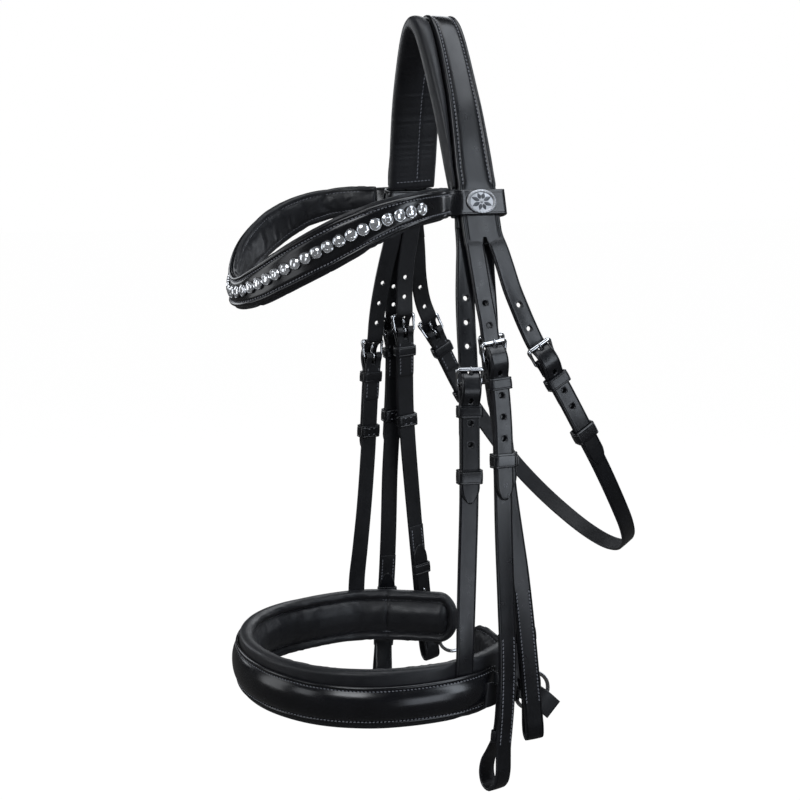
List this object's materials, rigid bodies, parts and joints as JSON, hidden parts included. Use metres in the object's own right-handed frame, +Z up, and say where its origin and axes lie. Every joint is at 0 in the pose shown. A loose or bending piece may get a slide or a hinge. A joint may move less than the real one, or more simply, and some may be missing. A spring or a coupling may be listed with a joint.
{
  "type": "double bridle head",
  "caption": "Black leather bridle head with padded crown, wave browband with crystals, padded noseband, throatlatch and two cheek straps a side.",
  "frame": {"origin": "middle of the crown pad's underside, where it rests on the poll", "axes": "+Z up; the horse faces -Y; +X is the near (left) side"},
  "size_m": [0.227, 0.3219, 0.5483],
  "materials": {
    "black_leather": "smooth black bridle leather, satin to glossy, burnished edges, black stitching",
    "soft_lining": "soft black padded lining leather, fine grain, satin",
    "chrome": "polished bright metal with slight scratches",
    "crystal": "clear faceted crystals in bright cups"
  },
  "bodies": {
    "root": {"headpiece_strap": "black_leather", "noseband_sliphead": "black_leather", "bridoon_sliphead": "black_leather", "headpiece_padding": "soft_lining"},
    "browband": {"browband_leather": "black_leather", "browband_padding": "soft_lining", "crystal_chain": "crystal", "near_medallion": "chrome", "off_medallion": "chrome"},
    "noseband": {"near_noseband_billet": "black_leather", "near_noseband_buckle": "chrome", "near_noseband_strap": "black_leather", "off_noseband_billet": "black_leather", "off_noseband_buckle": "chrome", "off_noseband_strap": "black_leather", "noseband_leather": "black_leather", "noseband_padding": "soft_lining", "chin_strap": "black_leather", "chin_pad": "soft_lining"},
    "throatlatch": {"near_throat_billet": "black_leather", "near_throat_buckle": "chrome", "off_throat_billet": "black_leather", "off_throat_buckle": "chrome", "throat_strap": "black_leather"},
    "near_curb_cheek": {"near_curb_billet": "black_leather", "near_curb_buckle": "chrome", "near_curb_cheekpiece": "black_leather"},
    "near_bridoon_cheek": {"near_bridoon_billet": "black_leather", "near_bridoon_buckle": "chrome", "near_bridoon_cheekpiece": "black_leather"},
    "near_curb_tongue": {"near_curb_tongue": "chrome"},
    "near_curb_keeper": {"near_curb_sliding_keeper": "black_leather"},
    "near_bridoon_tongue": {"near_bridoon_tongue": "chrome"},
    "near_bridoon_keeper": {"near_bridoon_sliding_keeper": "black_leather"},
    "near_noseband_tongue": {"near_noseband_tongue": "chrome"},
    "near_noseband_keeper": {"near_noseband_sliding_keeper": "black_leather"},
    "near_throat_tongue": {"near_throat_tongue": "chrome"},
    "near_throat_keeper": {"near_throat_sliding_keeper": "black_leather"},
    "near_noseband_ring": {"near_noseband_ring": "chrome"},
    "off_curb_cheek": {"off_curb_billet": "black_leather", "off_curb_buckle": "chrome", "off_curb_cheekpiece": "black_leather"},
    "off_bridoon_cheek": {"off_bridoon_billet": "black_leather", "off_bridoon_buckle": "chrome", "off_bridoon_cheekpiece": "black_leather"},
    "off_curb_tongue": {"off_curb_tongue": "chrome"},
    "off_curb_keeper": {"off_curb_sliding_keeper": "black_leather"},
    "off_bridoon_tongue": {"off_bridoon_tongue": "chrome"},
    "off_bridoon_keeper": {"off_bridoon_sliding_keeper": "black_leather"},
    "off_noseband_tongue": {"off_noseband_tongue": "chrome"},
    "off_noseband_keeper": {"off_noseband_sliding_keeper": "black_leather"},
    "off_throat_tongue": {"off_throat_tongue": "chrome"},
    "off_throat_keeper": {"off_throat_sliding_keeper": "black_leather"},
    "off_noseband_ring": {"off_noseband_ring": "chrome"}
  },
  "joints": [
    {"name": "browband_tilt", "type": "hinge", "parent": "root", "child": "browband", "pos_m": [0, 0.0098, -0.1212], "axis": [1, 0, 0], "range_deg": [-3, 3]},
    {"name": "noseband_swing", "type": "hinge", "parent": "root", "child": "noseband", "pos_m": [0, -0.0014, -0.1384], "axis": [1, 0, 0], "range_deg": [-4.5, 0]},
    {"name": "throatlatch_swing", "type": "hinge", "parent": "root", "child": "throatlatch", "pos_m": [0, 0.0182, -0.1425], "axis": [1, 0, 0], "range_deg": [-4, 12]},
    {"name": "near_curb_swing", "type": "hinge", "parent": "root", "child": "near_curb_cheek", "pos_m": [0.0656, 0.0022, -0.1425], "axis": [0, -1, 0], "range_deg": [0, 20]},
    {"name": "near_bridoon_swing", "type": "hinge", "parent": "root", "child": "near_bridoon_cheek", "pos_m": [0.0602, 0.0138, -0.1384], "axis": [1, 0, 0], "range_deg": [0, 9]},
    {"name": "near_curb_tongue_lift", "type": "hinge", "parent": "near_curb_cheek", "child": "near_curb_tongue", "pos_m": [0.08697, 0.00975, -0.22885], "axis": [-0.0213, 0.9913, 0.1297], "range_deg": [0, 12]},
    {"name": "near_curb_keeper_slide", "type": "slide", "parent": "near_curb_cheek", "child": "near_curb_keeper", "axis": [0.0944, -0.0137, -0.9954], "range_m": [-0.008, 0.008]},
    {"name": "near_bridoon_tongue_lift", "type": "hinge", "parent": "near_bridoon_cheek", "child": "near_bridoon_tongue", "pos_m": [0.07425, 0.01353, -0.22593], "axis": [-0.0054, 0.9978, 0.0668], "range_deg": [0, 12]},
    {"name": "near_bridoon_keeper_slide", "type": "slide", "parent": "near_bridoon_cheek", "child": "near_bridoon_keeper", "axis": [0.0788, 0.1029, -0.9916], "range_m": [-0.008, 0.008]},
    {"name": "near_noseband_tongue_lift", "type": "hinge", "parent": "noseband", "child": "near_noseband_tongue", "pos_m": [0.08571, -0.00951, -0.2469], "axis": [0.1652, 0.9861, -0.0202], "range_deg": [0, 12]},
    {"name": "near_noseband_keeper_slide", "type": "slide", "parent": "noseband", "child": "near_noseband_keeper", "axis": [0.0678, -0.0261, -0.9974], "range_m": [-0.007, 0.006]},
    {"name": "near_throat_tongue_lift", "type": "hinge", "parent": "throatlatch", "child": "near_throat_tongue", "pos_m": [0.09032, 0.04827, -0.23089], "axis": [-0.003, 0.8709, 0.4915], "range_deg": [0, 12]},
    {"name": "near_throat_keeper_slide", "type": "slide", "parent": "throatlatch", "child": "near_throat_keeper", "axis": [-0.0404, 0.5231, -0.8513], "range_m": [-0.006, 0.003]},
    {"name": "near_ring_turn", "type": "hinge", "parent": "noseband", "child": "near_noseband_ring", "pos_m": [0.066, 0.056, -0.486], "axis": [1, 0, 0], "range_deg": [-90, 90]},
    {"name": "off_curb_swing", "type": "hinge", "parent": "root", "child": "off_curb_cheek", "pos_m": [-0.0656, 0.0022, -0.1425], "axis": [0, 1, 0], "range_deg": [0, 20]},
    {"name": "off_bridoon_swing", "type": "hinge", "parent": "root", "child": "off_bridoon_cheek", "pos_m": [-0.0602, 0.0138, -0.1384], "axis": [1, 0, 0], "range_deg": [0, 9]},
    {"name": "off_curb_tongue_lift", "type": "hinge", "parent": "off_curb_cheek", "child": "off_curb_tongue", "pos_m": [-0.08697, 0.00975, -0.22885], "axis": [-0.0213, -0.9913, -0.1297], "range_deg": [0, 12]},
    {"name": "off_curb_keeper_slide", "type": "slide", "parent": "off_curb_cheek", "child": "off_curb_keeper", "axis": [-0.0944, -0.0137, -0.9954], "range_m": [-0.008, 0.008]},
    {"name": "off_bridoon_tongue_lift", "type": "hinge", "parent": "off_bridoon_cheek", "child": "off_bridoon_tongue", "pos_m": [-0.07425, 0.01353, -0.22593], "axis": [-0.0054, -0.9978, -0.0668], "range_deg": [0, 12]},
    {"name": "off_bridoon_keeper_slide", "type": "slide", "parent": "off_bridoon_cheek", "child": "off_bridoon_keeper", "axis": [-0.0788, 0.1029, -0.9916], "range_m": [-0.008, 0.008]},
    {"name": "off_noseband_tongue_lift", "type": "hinge", "parent": "noseband", "child": "off_noseband_tongue", "pos_m": [-0.08571, -0.00951, -0.2469], "axis": [0.1652, -0.9861, 0.0202], "range_deg": [0, 12]},
    {"name": "off_noseband_keeper_slide", "type": "slide", "parent": "noseband", "child": "off_noseband_keeper", "axis": [-0.0678, -0.0261, -0.9974], "range_m": [-0.007, 0.006]},
    {"name": "off_throat_tongue_lift", "type": "hinge", "parent": "throatlatch", "child": "off_throat_tongue", "pos_m": [-0.09032, 0.04827, -0.23089], "axis": [-0.003, -0.8709, -0.4915], "range_deg": [0, 12]},
    {"name": "off_throat_keeper_slide", "type": "slide", "parent": "throatlatch", "child": "off_throat_keeper", "axis": [0.0404, 0.5231, -0.8513], "range_m": [-0.006, 0.003]},
    {"name": "off_ring_turn", "type": "hinge", "parent": "noseband", "child": "off_noseband_ring", "pos_m": [-0.066, 0.056, -0.486], "axis": [1, 0, 0], "range_deg": [-90, 90]}
  ]
}
